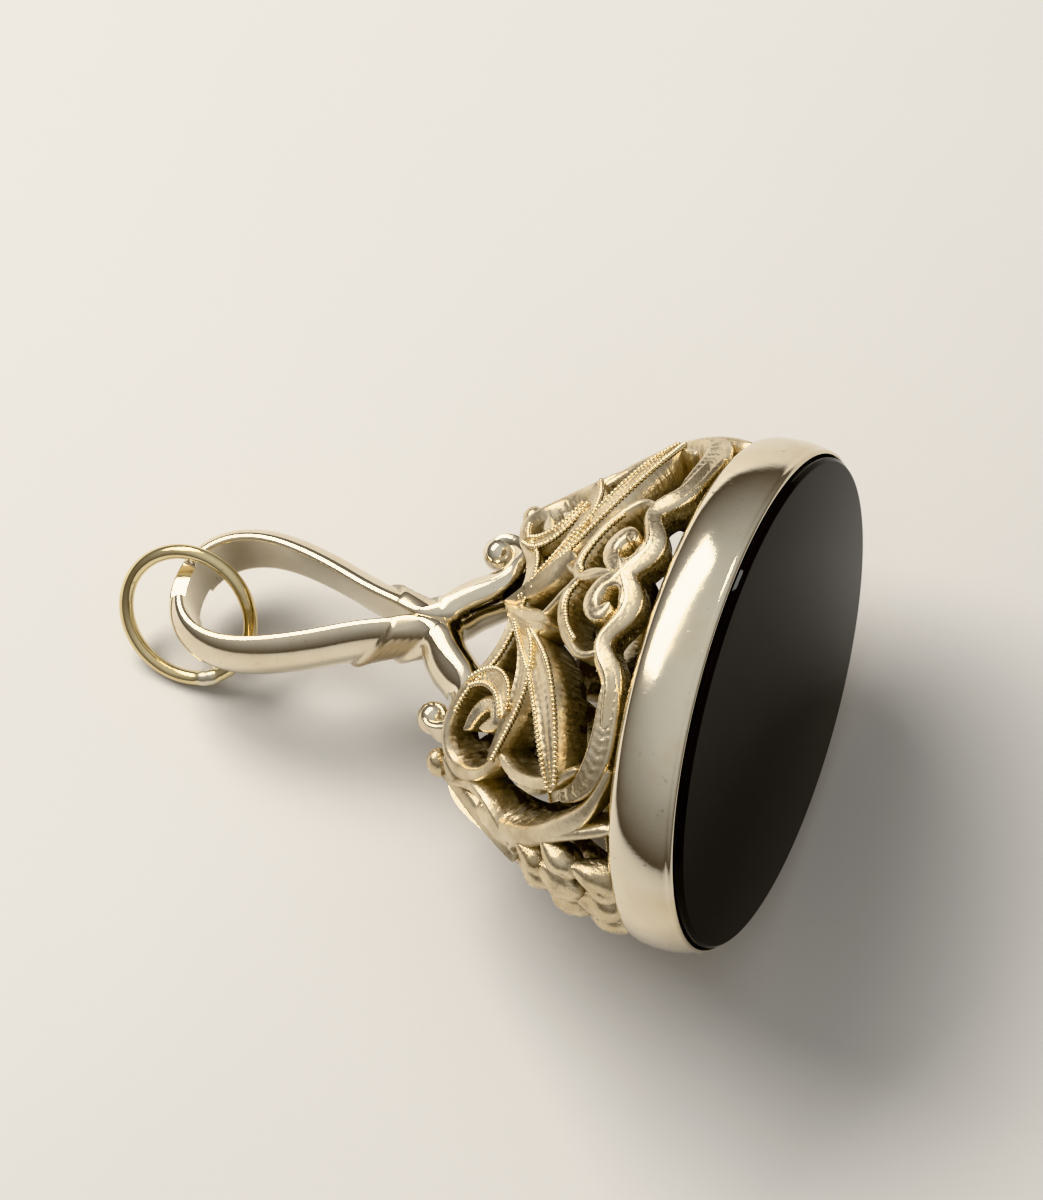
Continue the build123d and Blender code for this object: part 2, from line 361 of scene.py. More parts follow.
# Centre line of a strap. Up the loop, from the neck to the tip: out is a share
# of the loop's half width and up of its height. Along a foot, from the curl to
# the neck: out is a share of the foot's spread and up of the neck's height.
# Then come shares of the crown's rise and of the strap's width.
LOOP = [
    (0.235, 0.11, 1.15, 0.98),
    (0.40, 0.25, 1.0, 1.0),
    (0.655, 0.41, 1.0, 1.0),
    (0.90, 0.585, 1.0, 1.0),
    (1.00, 0.74, 1.0, 1.0),
    (0.87, 0.88, 1.0, 1.0),
    (0.52, 0.97, 1.0, 1.0),
    (0.00, 1.00, 1.0, 1.0),
]
FOOT = [
    (0.965, 0.565, 0.62, 0.44),
    (1.045, 0.51, 0.66, 0.50),
    (1.050, 0.31, 0.80, 0.56),
    (0.965, 0.12, 1.15, 0.68),
    (0.800, 0.035, 1.60, 0.86),
    (0.620, 0.095, 2.00, 0.96),
    (0.455, 0.360, 2.20, 1.00),
    (0.275, 0.735, 2.10, 1.00),
    (0.130, 1.000, 1.70, 1.00),
]
# Heights of the folds on a strap, as shares of the loop
FOLDS = (0.115, 0.270)

# The fob's frame in the row's, from the mount on the stone's face
seat = next(mount for mount in frame["record"]["mounts"] if mount["name"] == "stone_face")
fob_z = -np.array(seat["axis"])
fob_y = np.array([0.0, 1.0, 0.0])
fob_x = np.cross(fob_y, fob_z)
fob_origin = np.array(seat["pos_m"])


def to_row(points):
    """Millimetres in the fob's frame to metres in the row's"""
    return fob_origin + MM * (np.asarray(points) @ np.array([fob_x, fob_y, fob_z]))


def through(knots, values, places):
    """Values at the places, on a natural cubic spline through the knots"""
    count = len(knots)
    gaps = np.diff(knots)
    slopes = np.diff(values, axis=0) / gaps[:, None]
    matrix = np.eye(count)
    jumps = np.zeros_like(values)
    for i in range(1, count - 1):
        matrix[i, i - 1:i + 2] = gaps[i - 1], 2 * (gaps[i - 1] + gaps[i]), gaps[i]
        jumps[i] = 6 * (slopes[i] - slopes[i - 1])
    bends = np.linalg.solve(matrix, jumps)
    cell = np.clip(np.searchsorted(knots, places, side="right") - 1, 0, count - 2)
    gap = gaps[cell][:, None]
    before = (knots[cell + 1] - places)[:, None] / gap
    after = 1 - before
    straight = before * values[cell] + after * values[cell + 1]
    bent = (before ** 3 - before) * bends[cell] + (after ** 3 - after) * bends[cell + 1]
    return straight + bent * gap ** 2 / 6


def run_of(points):
    """Distance along a row of points, from the first"""
    return np.r_[0, np.cumsum(np.linalg.norm(np.diff(points, axis=0), axis=1))]


def smooth_rows(rows, step):
    """Rows at even steps along the smooth line through the given ones, which start with two places"""
    rows = np.array(rows, float)
    knots = run_of(rows[:, :2])
    fine = through(knots, rows, np.linspace(0, knots[-1], knot_steps * len(rows)))
    run = run_of(fine[:, :2])
    places = np.linspace(0, run[-1], max(4, round(run[-1] / step)) + 1)
    return np.array([np.interp(places, run, column) for column in fine.T]).T


def round_ends(rows):
    """Rows of x, y and width, carried on over a round end at each side"""
    turns = np.radians(cap_turns)[:, None]
    caps = []
    for last, inner in ((rows[0], rows[1]), (rows[-1], rows[-2])):
        way = (last - inner)[:2] / np.linalg.norm((last - inner)[:2])
        cap = np.repeat(last[None], len(turns), axis=0)
        cap[:, :2] += way * last[2] / 2 * np.sin(turns)
        cap[:, 2] *= np.cos(turns)[:, 0]
        caps.append(cap)
    return np.vstack([caps[0][::-1], rows, caps[1]])


def unit(vectors):
    """Vectors made one long"""
    return vectors / np.linalg.norm(vectors, axis=-1, keepdims=True)


# The dome's halves over its height, finely
dome_rows = np.array(DOME)
dome_up = np.linspace(DOME[0][0], DOME[-1][0], dome_steps)
dome_halves = through(dome_rows[:, 0], dome_rows[:, 1:] * (half_length, half_width), dome_up)
dome_levels = collar_top + dome_up * basket_height
dome_slopes = np.gradient(dome_halves, dome_levels, axis=0)


def sign_of(face):
    """Which way a side of the basket faces along its axis"""
    return -1 if face[0] == "-" else 1


def on_dome(face, across, height):
    """Places on the dome's broad (x, -x) or narrow (y, -y) sides, and their outward normals"""
    long, short = (np.interp(height, dome_levels, half) for half in dome_halves.T)
    long_slope, short_slope = (np.interp(height, dome_levels, slope) for slope in dome_slopes.T)
    if face[-1] == "x":
        y = across
        x = sign_of(face) * short * np.sqrt(np.clip(1 - (y / long) ** 2, 0, 1))
    else:
        x = across
        y = sign_of(face) * long * np.sqrt(np.clip(1 - (x / short) ** 2, 0, 1))
    fall = x ** 2 * short_slope / short ** 3 + y ** 2 * long_slope / long ** 3
    out = unit(np.stack([x / short ** 2, y / long ** 2, -fall], axis=-1))
    return np.stack([x, y, height], axis=-1), out


class Piece:
    """Mesh in the making, in the fob's millimetres"""

    def __init__(self, name):
        self.name = name
        self.points = []
        self.trails = []
        self.faces = []
        self.count = 0

    def add(self, points, faces, trails=None):
        """Points, faces over them, and for each point its trail: its run, its place round the
        section and its depth"""
        if trails is None:
            trails = np.zeros((len(points), 3))
        self.points.append(points)
        self.trails.append(trails)
        self.faces += [[i + self.count for i in face] for face in faces]
        self.count += len(points)

    def grid(self, points, trails=None, ring=False):
        """Skin over rows of sections, each of them closed; a ring's last row meets its first"""
        rows, around = points.shape[:2]
        faces = []
        for i in range(rows if ring else rows - 1):
            for j in range(around):
                low, high = i * around, (i + 1) % rows * around
                after = (j + 1) % around
                faces.append([low + j, low + after, high + after, high + j])
        if not ring:
            faces.append(list(range(around))[::-1])
            faces.append([(rows - 1) * around + j for j in range(around)])
        if trails is not None:
            trails = trails.reshape(-1, 3)
        self.add(points.reshape(-1, 3), faces, trails)

    def ball(self, centre, radii, axes=None, depth=None):
        """Round bead with its radii along the given axes"""
        points = BALL_POINTS * radii
        if axes is not None:
            points = points @ axes
        trails = np.zeros_like(points)
        # A given depth marks painted shade, which the gold darkens
        if depth is not None:
            trails[:, 2] = depth
        self.add(points + centre, BALL_FACES, trails)

    def make(self, material, slot, sharp):
        """The finished object, with its edges sharp over an angle"""
        mesh = bpy.data.meshes.new(self.name)
        mesh.from_pydata(to_row(np.vstack(self.points)), [], self.faces)
        trail = mesh.attributes.new("trail", "FLOAT_VECTOR", "POINT")
        trail.data.foreach_set("vector", np.vstack(self.trails).astype(np.float32).ravel())
        editing = bmesh.new()
        editing.from_mesh(mesh)
        bmesh.ops.recalc_face_normals(editing, faces=editing.faces)
        editing.to_mesh(mesh)
        editing.free()
        mesh.shade_smooth()
        mesh.set_sharp_from_angle(angle=math.radians(sharp))
        piece = bpy.data.objects.new(self.name, mesh)
        bpy.context.scene.collection.objects.link(piece)
        mesh.materials.append(material)
        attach(piece, "root")
        return piece


def ball_shape(rings, around):
    """Points and faces of a round ball of radius one"""
    points = [(0, 0, 1)]
    for i in range(1, rings):
        turn = math.pi * i / rings
        wide = math.sin(turn)
        for j in range(around):
            way = math.tau * (j + i % 2 / 2) / around
            points.append((wide * math.cos(way), wide * math.sin(way), math.cos(turn)))
    points.append((0, 0, -1))
    last = len(points) - 1
    faces = [[0, 1 + j, 1 + (j + 1) % around] for j in range(around)]
    for i in range(rings - 2):
        low, high = 1 + i * around, 1 + (i + 1) * around
        for j in range(around):
            after = (j + 1) % around
            faces.append([low + j, high + j, high + after, low + after])
    low = last - around
    faces += [[last, low + (j + 1) % around, low + j] for j in range(around)]
    return np.array(points, float), faces


GRAIN_POINTS, GRAIN_FACES = ball_shape(rings=6, around=9)
BALL_POINTS, BALL_FACES = ball_shape(rings=16, around=24)

# Sections of a scroll, clockwise from the middle of its face: shares of its
# half width towards the outer side of its curl, offsets from the dome, and
# how strongly fine grooves cross the metal there
BAND = np.array([
    (0.00, 0.10, 0), (0.30, 0.10, 0), (0.60, 0.06, 0), (0.85, -0.02, 0), (0.98, -0.14, 0),
    (1.00, -0.30, 0), (1.00, -0.60, 0.4), (0.95, -1.00, 0.6), (0.88, -1.40, 0.4), (0.75, -1.60, 0),
    (-0.90, -1.60, 0), (-1.05, -1.50, 0.5), (-1.12, -1.15, 1), (-1.10, -0.80, 1), (-1.05, -0.50, 1),
    (-1.02, -0.25, 0.5), (-0.95, -0.05, 0), (-0.75, 0.04, 0), (-0.50, 0.08, 0), (-0.25, 0.10, 0),
])
RIM = np.array([
    (0.00, 0.12, 0), (0.20, 0.11, 0), (0.38, 0.06, 0), (0.48, -0.02, 0), (0.53, -0.14, 0),
    (0.55, -0.35, 0.2), (0.56, -0.70, 0.8), (0.55, -1.10, 1), (0.52, -1.48, 0.5), (0.42, -1.60, 0),
    (-0.42, -1.60, 0), (-0.52, -1.48, 0.5), (-0.55, -1.10, 1), (-0.56, -0.70, 1), (-0.55, -0.35, 0.7),
    (-0.53, -0.14, 0.1), (-0.48, -0.02, 0), (-0.38, 0.06, 0), (-0.20, 0.11, 0), (-0.10, 0.12, 0),
])
ROD = np.array([
    (0.00, 0.20, 0), (0.26, 0.19, 0), (0.52, 0.15, 0), (0.76, 0.07, 0), (0.90, -0.03, 0),
    (0.97, -0.14, 0), (1.00, -0.32, 0.3), (0.97, -0.75, 0.8), (0.90, -1.20, 0.6), (0.72, -1.40, 0),
    (-0.72, -1.40, 0), (-0.90, -1.20, 0.5), (-0.97, -0.75, 1), (-1.00, -0.32, 0.6), (-0.97, -0.14, 0.1),
    (-0.90, -0.03, 0), (-0.76, 0.07, 0), (-0.52, 0.15, 0), (-0.26, 0.19, 0), (-0.12, 0.20, 0),
])
LEAF = np.array([
    (0.00, 0.13, 0.2), (0.22, 0.10, 0.8), (0.45, 0.11, 0.8), (0.62, 0.16, 0.3), (0.78, leaf_relief, 0),
    (0.92, 0.17, 0), (1.00, 0.04, 0), (1.00, -0.45, 0.8), (0.88, -1.00, 1), (0.70, -1.60, 0),
    (-0.70, -1.60, 0), (-0.88, -1.00, 1), (-1.00, -0.45, 0.8), (-1.00, 0.04, 0), (-0.92, 0.17, 0),
    (-0.78, leaf_relief, 0), (-0.62, 0.16, 0.3), (-0.45, 0.11, 0.8), (-0.22, 0.10, 0.8),
    (-0.10, 0.12, 0.4),
])
FLAT = np.array([
    (0.00, 0.15, 0), (0.30, 0.15, 0), (0.58, 0.13, 0), (0.80, 0.08, 0), (0.92, -0.01, 0),
    (0.97, -0.14, 0), (1.00, -0.32, 0.3), (0.97, -0.75, 0.8), (0.90, -1.20, 0.6), (0.72, -1.40, 0),
    (-0.72, -1.40, 0), (-0.90, -1.20, 0.5), (-0.97, -0.75, 1), (-1.00, -0.32, 0.6), (-0.97, -0.14, 0.1),
    (-0.92, -0.01, 0), (-0.80, 0.08, 0), (-0.58, 0.13, 0), (-0.30, 0.15, 0), (-0.12, 0.15, 0),
])
LADDER = np.array([
    (0.00, 0.07, 1.1), (0.25, 0.07, 1.2), (0.50, 0.07, 1.0), (0.66, 0.10, 0), (0.80, 0.10, 0),
    (0.94, 0.02, 0), (1.00, -0.14, 0), (1.00, -0.60, 0.8), (0.92, -1.10, 0.6), (0.80, -1.40, 0),
    (-0.80, -1.40, 0), (-0.92, -1.10, 0.6), (-1.00, -0.60, 0.8), (-1.00, -0.14, 0), (-0.94, 0.02, 0),
    (-0.80, 0.10, 0), (-0.66, 0.10, 0), (-0.50, 0.07, 1.0), (-0.25, 0.07, 1.2), (-0.12, 0.07, 1.1),
])
FACET = np.array([
    (0.00, 0.15, 0), (0.18, 0.185, 0), (0.34, 0.175, 0), (0.66, 0.07, 0), (0.90, -0.05, 0),
    (0.98, -0.16, 0), (1.00, -0.34, 0.3), (0.97, -0.75, 0.8), (0.90, -1.20, 0.6), (0.72, -1.40, 0),
    (-0.72, -1.40, 0), (-0.90, -1.20, 0.5), (-0.97, -0.75, 1), (-1.00, -0.34, 0.6), (-0.98, -0.14, 0.1),
    (-0.92, -0.03, 0), (-0.80, 0.03, 0), (-0.58, 0.07, 0), (-0.34, 0.11, 0), (-0.14, 0.13, 0),
])
CREASE = np.array([
    (0.00, 0.26, 0), (0.10, 0.22, 0), (0.40, 0.12, 0), (0.75, 0.00, 0), (0.95, -0.10, 0),
    (1.00, -0.22, 0), (1.00, -0.60, 0.5), (0.95, -1.00, 0.8), (0.85, -1.30, 0.4), (0.70, -1.40, 0),
    (-0.70, -1.40, 0), (-0.85, -1.30, 0.4), (-0.95, -1.00, 0.8), (-1.00, -0.60, 0.5), (-1.00, -0.22, 0),
    (-0.95, -0.10, 0), (-0.75, 0.00, 0), (-0.40, 0.12, 0), (-0.10, 0.22, 0), (-0.04, 0.25, 0),
])


def pattern_rows(table, face, side, width, shift=0.0):
    """Flat rows of a scroll: across, height and width in millimetres, with round ends"""
    reach = half_length if face[-1] == "x" else half_width
    rows = [((side * across + shift) * reach, collar_top + up * basket_height, share * width)
            for across, up, share in table]
    return round_ends(smooth_rows(rows, rib_step))


def lay(rows, face, beside):
    """Places on the dome at distances beside each row, and the row's own normal"""
    ways = unit(np.gradient(rows[:, :2], axis=0))
    places, _ = on_dome(face, rows[:, :1] - ways[:, 1:] * beside, rows[:, 1:2] + ways[:, :1] * beside)
    _, out = on_dome(face, rows[:, 0], rows[:, 1])
    return places, out


def smooth_step(value, low, high):
    """Nought below low, one above high and smooth between them"""
    share = np.clip((value - low) / (high - low), 0, 1)
    return share * share * (3 - 2 * share)


def add_scroll(piece, table, face, side, width, sections, sink=0.0, change=(0.15, 0.45), shift=0.0):
    """Ribbon of a scroll on the dome, with walls that reach into the basket. Its section goes
    from the first to the last of the sections over the change, given as shares of its run."""
    rows = pattern_rows(table, face, side, width, shift)
    run = run_of(rows[:, :2])
    share = smooth_step(run / run[-1], *change)[:, None, None]
    section = sections[0] * (1 - share) + sections[-1] * share
    half = side * rows[:, 2] / 2
    outline = section[..., :2] * np.stack([half, np.ones_like(half)], axis=-1)[:, None]
    along = np.roll(outline, -1, axis=1) - np.roll(outline, 1, axis=1)
    normal = unit(np.stack([along[..., 1], -along[..., 0]], axis=-1))
    slant = math.tau * (run[:, None] + groove_slant * np.abs(outline[..., 0])) / groove_step
    wave = np.sin(slant) + groove_mix * np.sin(slant / groove_second + 1)
    outline += groove_depth * wave[..., None] * section[..., 2:] * normal
    outline[..., 1] -= sink
    places, out = lay(rows, face, outline[..., 0])
    points = places + out[:, None] * outline[..., 1:]
    trails = np.zeros(points.shape)
    trails[..., 0] = run[:, None]
    trails[..., 1] = run_of(sections[-1][:, :2] * (width / 2, 1))[None]
    # Depth into the basket, which the cast gold turns into painted shade
    trails[..., 2] = np.clip(-outline[..., 1] / rib_depth, 0, 1)
    piece.grid(points, trails)


def add_rope(piece, table, face, side, width, share, lift, start=0.3, stop=0.3, shift=0.0):
    """Row of grains along one edge of a scroll, at a share of its half width. It starts and
    stops short of the scroll's ends."""
    rows = pattern_rows(table, face, side, width, shift)
    places, out = lay(rows, face, side * share * rows[:, 2:] / 2)
    line = places[:, 0] + out * lift
    run = run_of(line)
    stops = np.arange(start, run[-1] - stop, grain_size * grain_spacing)
    centres = np.array([np.interp(stops, run, column) for column in line.T]).T
    ups = unit(np.array([np.interp(stops, run, column) for column in out.T]).T)
    ways = unit(np.gradient(centres, axis=0))
    long, wide, high = grain_shape
    for centre, up, way in zip(centres, ups, ways):
        beside = np.cross(up, way)
        axes = np.array([way * long, beside * wide, up * high]) * grain_size
        piece.add(GRAIN_POINTS @ axes + centre, GRAIN_FACES)


# Painted shade in the basket's recesses, tan between the folds of the bow, and the ring's solder
# Dark colour painted where shade falls deep in the basket
RECESS_SHADE = (0.030, 0.018, 0.010, 1)
TAN = (0.50, 0.39, 0.24, 1)
SOLDER = (0.84, 0.78, 0.64, 1)

# Noise of the finishes, in features per metre, and for the lines on a cast wall in features
# per millimetre of the trail
polish_patches = 260
polish_specks = 2600
polish_waves = 420
polish_scratches = (900, 5200, 900)
cast_patches = 700
cast_spots = 1500
cast_grain = 6500
cast_lines = (6.0, 1.6, 1.0)
onyx_haze = 300
onyx_scuffs = (5200, 800, 800)
floor_mottle = 30

# Relief of the finishes: strength and depth in millimetres
scratch_relief = (0.12, 0.02)
wave_relief = (0.35, 0.06)
grain_relief = (0.3, 0.03)
spot_relief = (0.35, 0.08)
wall_relief = (0.6, 0.12)


class Paint:
    """Material in the making: short calls for its nodes"""

    def __init__(self, name):
        self.material = bpy.data.materials.new(name)
        self.material.use_nodes = True
        self.tree = self.material.node_tree
        self.shader = self.tree.nodes["Principled BSDF"]

    def feed(self, socket, value):
        """Number, colour or another node's socket into an input"""
        if isinstance(value, bpy.types.NodeSocket):
            self.tree.links.new(value, socket)
        else:
            socket.default_value = value

    def node(self, kind, inputs=None, **settings):
        """Node with its settings and inputs"""
        node = self.tree.nodes.new(kind)
        for key, value in settings.items():
            setattr(node, key, value)
        for key, value in (inputs or {}).items():
            self.feed(node.inputs[key], value)
        return node

    def noise(self, place, scale, detail, roughness):
        """Grey noise over a place, with features 1 / scale wide"""
        inputs = {"Vector": place, "Scale": scale, "Detail": detail, "Roughness": roughness}
        return self.node("ShaderNodeTexNoise", inputs).outputs["Fac"]

    def spread(self, value, low, high, to_low=0.0, to_high=1.0):
        """Value between low and high, moved between two others"""
        inputs = {"Value": value, "From Min": low, "From Max": high, "To Min": to_low, "To Max": to_high}
        return self.node("ShaderNodeMapRange", inputs).outputs["Result"]

    def sum(self, a, b, operation="ADD"):
        """Two values added, or joined in another way"""
        return self.node("ShaderNodeMath", {0: a, 1: b}, operation=operation).outputs[0]

    def mix(self, share, a, b):
        """Colour between two colours"""
        return self.node("ShaderNodeMix", {0: share, 6: a, 7: b}, data_type="RGBA").outputs[2]

    def place(self):
        """Place on the object"""
        return self.node("ShaderNodeTexCoord").outputs["Object"]

    def stretched(self, place, scale):
        """Place with its axes stretched"""
        return self.node("ShaderNodeMapping", {"Vector": place, "Scale": scale}).outputs[0]

    def trail(self):
        """Run along a scroll, place round its section and depth in the basket or mark"""
        return self.node("ShaderNodeAttribute", attribute_name="trail").outputs["Vector"]

    def bump(self, height, relief, under=None):
        """Relief too fine for a mesh, over the relief under it"""
        strength, depth = relief
        inputs = {"Height": height, "Strength": strength, "Distance": depth * MM}
        if under is not None:
            inputs["Normal"] = under
        return self.node("ShaderNodeBump", inputs).outputs[0]

    def set(self, **inputs):
        """Inputs of the shader, by name with _ for a space"""
        for key, value in inputs.items():
            self.feed(self.shader.inputs[key.replace("_", " ")], value)


def polished_gold(name, bright, warm, marked, rough_low, rough_high):
    """Worn polish: warm tarnish in patches, uneven gloss and hairline scratches. The marked
    colour lies where the trail's third value is one."""
    paint = Paint(name)
    place = paint.place()
    patches = paint.noise(place, polish_patches, 4.0, 0.6)
    specks = paint.noise(place, polish_specks, 3.0, 0.6)
    tarnish = paint.spread(patches, 0.42, 0.72)
    colour = paint.mix(tarnish, bright, warm)
    pits = paint.spread(specks, 0.66, 0.74)
    dull = tuple(0.45 * c for c in warm[:3]) + (1,)
    colour = paint.mix(paint.sum(pits, 0.5, "MULTIPLY"), colour, dull)
    mark = paint.node("ShaderNodeSeparateXYZ", {0: paint.trail()}).outputs[2]
    colour = paint.mix(mark, colour, marked)
    rough = paint.spread(patches, 0.35, 0.70, rough_low, rough_high)
    rough = paint.sum(rough, paint.sum(pits, 0.2, "MULTIPLY"))
    rough = paint.sum(rough, paint.sum(mark, 0.14, "MULTIPLY"))
    scratches = paint.noise(paint.stretched(place, polish_scratches), 1.0, 4.0, 0.7)
    waves = paint.noise(place, polish_waves, 2.0, 0.4)
    relief = paint.bump(scratches, scratch_relief)
    relief = paint.bump(waves, wave_relief, relief)
    paint.set(Base_Color=colour, Metallic=1.0, Roughness=rough, Normal=relief)
    return paint.material


def cast_gold(name, bright, warm, gloss=0.0, shade_from=0.34, shade_to=0.86):
    """Cast metal left matte, with fine lines across the walls and painted shade in the recesses. The
    painted shade starts and is full at depths given as shares of the ribs'."""
    paint = Paint(name)
    place = paint.place()
    trail = paint.trail()
    depth = paint.node("ShaderNodeSeparateXYZ", {0: trail}).outputs[2]
    patches = paint.noise(place, cast_patches, 4.0, 0.6)
    spots = paint.noise(place, cast_spots, 3.0, 0.65)
    lines = paint.noise(paint.stretched(trail, cast_lines), 1.0, 3.0, 0.6)
    grain = paint.noise(place, cast_grain, 3.0, 0.6)
    colour = paint.mix(paint.spread(patches, 0.35, 0.70), bright, warm)
    # Painted shade: the deeper the metal lies in the basket, the darker, rougher and less metallic it
    # is, broken up by spots and lines
    recess_shade = paint.sum(depth, paint.spread(spots, 0.32, 0.68, -0.30, 0.30))
    recess_shade = paint.sum(recess_shade, paint.spread(lines, 0.35, 0.65, 0.08, -0.08))
    recess_shade = paint.spread(recess_shade, shade_from, shade_to)
    colour = paint.mix(recess_shade, colour, RECESS_SHADE)
    rough = paint.spread(grain, 0.3, 0.7, 0.26 - gloss, 0.42 - gloss)
    rough = paint.sum(rough, paint.sum(recess_shade, 0.22, "MULTIPLY"))
    metal = paint.spread(recess_shade, 0.0, 1.0, 1.0, 0.6)
    relief = paint.bump(grain, grain_relief)
    relief = paint.bump(spots, spot_relief, relief)
    walls = paint.sum(lines, paint.spread(depth, 0.02, 0.25), "MULTIPLY")
    relief = paint.bump(walls, wall_relief, relief)
    paint.set(Base_Color=colour, Metallic=metal, Roughness=rough, Normal=relief)
    return paint.material


def black_onyx():
    """Polished black stone with a trace of wear"""
    paint = Paint("black_onyx")
    place = paint.place()
    haze = paint.noise(place, onyx_haze, 4.0, 0.6)
    scuffs = paint.noise(paint.stretched(place, onyx_scuffs), 1.0, 3.0, 0.7)
    rough = paint.spread(haze, 0.4, 0.8, 0.02, 0.07)
    rough = paint.sum(rough, paint.spread(scuffs, 0.68, 0.76, 0.0, 0.08))
    haze = paint.spread(haze, 0.4, 0.8)
    colour = paint.mix(haze, (0.0035, 0.003, 0.003, 1), (0.008, 0.006, 0.006, 1))
    paint.set(Base_Color=colour, Roughness=rough, IOR=1.54, Specular_IOR_Level=0.13)
    return paint.material


bright_gold = polished_gold("bright_gold", (0.87, 0.80, 0.66, 1), (0.78, 0.67, 0.49, 1), TAN, 0.08, 0.18)
basket_gold = cast_gold("basket_gold", (0.81, 0.72, 0.55, 1), (0.61, 0.50, 0.33, 1), 0.0, 0.52, 1.0)
border_gold = cast_gold("border_gold", (0.84, 0.75, 0.58, 1), (0.72, 0.60, 0.41, 1), 0.08, 0.50, 1.0)
grain_gold = cast_gold("grain_gold", (0.88, 0.78, 0.57, 1), (0.78, 0.63, 0.40, 1), 0.10)
berry_gold = cast_gold("berry_gold", (0.82, 0.71, 0.51, 1), (0.62, 0.49, 0.30, 1), 0.06, 0.22, 0.74)
link_gold = polished_gold("link_gold", (0.88, 0.77, 0.50, 1), (0.77, 0.61, 0.34, 1), SOLDER, 0.10, 0.20)
onyx = black_onyx()


def oval_rows(profile):
    """A profile of outward offsets and heights, all the way round the stone's oval"""
    turns = np.linspace(0, math.tau, oval_steps, endpoint=False)[:, None]
    profile = np.array(profile)
    x = (half_width + profile[None, :, 0]) * np.cos(turns)
    y = (half_length + profile[None, :, 0]) * np.sin(turns)
    z = np.broadcast_to(profile[None, :, 1], x.shape)
    return np.stack([x, y, z], axis=-1)


def make_collar():
    """Domed band round the stone, with its burnished lip and the ledge behind the stone"""
    gap = stone_gap
    low = lip_drop
    top = collar_top
    ledge = stone_depth + stone_gap
    crown = [
        (gap, ledge),
        (gap, low + 0.16),
        (gap + 0.02, low + 0.06),
        (gap + 0.07, low),
        (lip_width * 0.7, low + 0.01),
        (lip_width, low + 0.07),
        (lip_width + 0.03, low + 0.16),
        (lip_width + 0.035, low + 0.24),
    ]
    swelling = [(0.30, 0.105), (0.345, 0.14), (0.39, 0.20), (0.44, 0.28), (0.475, 0.36), (0.495, 0.45),
                (0.50, 0.54), (0.49, 0.63), (0.465, 0.72), (0.425, 0.80), (0.37, 0.87), (0.305, 0.925)]
    crown += [(out / 0.5 * collar_swell, low + up * collar_height) for out, up in swelling]
    crown += [
        (0.22, top - 0.13),
        (0.15, top - 0.05),
        (0.06, top),
        (-0.25, top + 0.01),
        (-ledge_width + 0.1, top),
        (-ledge_width, top - 0.1),
        (-ledge_width, ledge + 0.1),
        (-ledge_width + 0.1, ledge),
    ]
    piece = Piece("collar")
    piece.grid(oval_rows(crown), ring=True)
    collar = piece.make(bright_gold, "pale_gold", sharp_collar)
    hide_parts("gold_mount")


def make_stone():
    """Oval tablet with a polished bevel"""
    edge = stone_edge
    profile = [
        (-stone_bevel - edge * 1.6, 0),
        (-stone_bevel - edge * 0.6, 0.004),
        (-stone_bevel + edge * 0.2, edge * 0.35),
        (-stone_bevel + edge * 0.9, edge * 1.0),
        (-edge * 0.9, stone_bevel - edge * 0.9),
        (-edge * 0.2, stone_bevel - edge * 0.1),
        (0, stone_bevel + edge),
        (0, stone_depth - edge),
        (-edge, stone_depth),
    ]
    piece = Piece("onyx_tablet")
    piece.grid(oval_rows(profile).transpose(1, 0, 2))
    stone = piece.make(onyx, "onyx", sharp_stone)
    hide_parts("onyx_stone")


def dome_axes(face, across, height):
    """Place on the dome, with its directions beside, up the slope and outward"""
    place, out = on_dome(face, np.array(across), np.array(height))
    above, _ = on_dome(face, np.array(across), np.array(height + 0.1))
    rise = unit(above - place)
    return place, np.array([np.cross(rise, out), rise, out])


def add_ball(piece, face, across, height, radius):
    """Round ball, sunk a little into the dome"""
    place, axes = dome_axes(face, across, height)
    # Painted shade: the ball is darker on its side towards the dome
    depth = np.clip(0.35 - 0.8 * BALL_POINTS[:, 2], 0, 0.8)
    piece.ball(place - axes[2] * ball_sink, np.full(3, radius), axes, depth)


def add_berry(piece, face, berry, number):
    """Leafy lump of a cluster: uneven, with a crease along its middle"""
    across, up, long, wide, turn = berry
    across = -sign_of(face) * (across + berry_shift)
    place, axes = dome_axes(face, across * half_width, collar_top + up * basket_height)
    cos = math.cos(math.radians(turn))
    sin = math.sin(math.radians(turn))
    spin = np.array([[cos, sin, 0], [-sin, cos, 0], [0, 0, 1]])
    x, y, z = BALL_POINTS.T
    wave = 0.07 * np.sin(3.1 * x + 1.7 * number) * np.cos(2.7 * y + 0.9 * number)
    wave += 0.03 * np.sin(5 * y + 3 * z + number)
    lobe = 0.05 * np.exp(-((y + 0.2 - 0.4 * np.sin(number)) / 0.22) ** 2) * np.clip(z + 0.3, 0, 1)
    vein = np.exp(-((x - 0.12 * np.sin(2 * y + number)) / 0.13) ** 2) * np.clip(z, 0, 1)
    crease = 0.09 * vein * np.clip(0.9 - y, 0, 1) + lobe
    edge = 0.03 * np.sin(4 * np.arctan2(x, y) + number) * (1 - z * z)
    shape = BALL_POINTS * (1 + wave - crease + edge)[:, None]
    shape[:, 0] *= 1.04 - 0.42 * smooth_step(y, -0.1, 1.0)
    shape[:, 1] *= 1 + 0.12 * smooth_step(y, 0.2, 1.0)
    shape[:, 2] *= 1 - 0.22 * smooth_step(y, -0.2, 1.0)
    # Painted shade: the lump is darker on its side towards the dome and along its crease
    depth = np.clip(0.40 - 0.75 * z + 2.0 * crease, 0, 1)
    piece.add(shape * (wide / 2, long / 2, berry_rise) @ spin @ axes + place - axes[2] * berry_sink,
              BALL_FACES, np.stack([9.7 * x, y, depth], axis=-1))


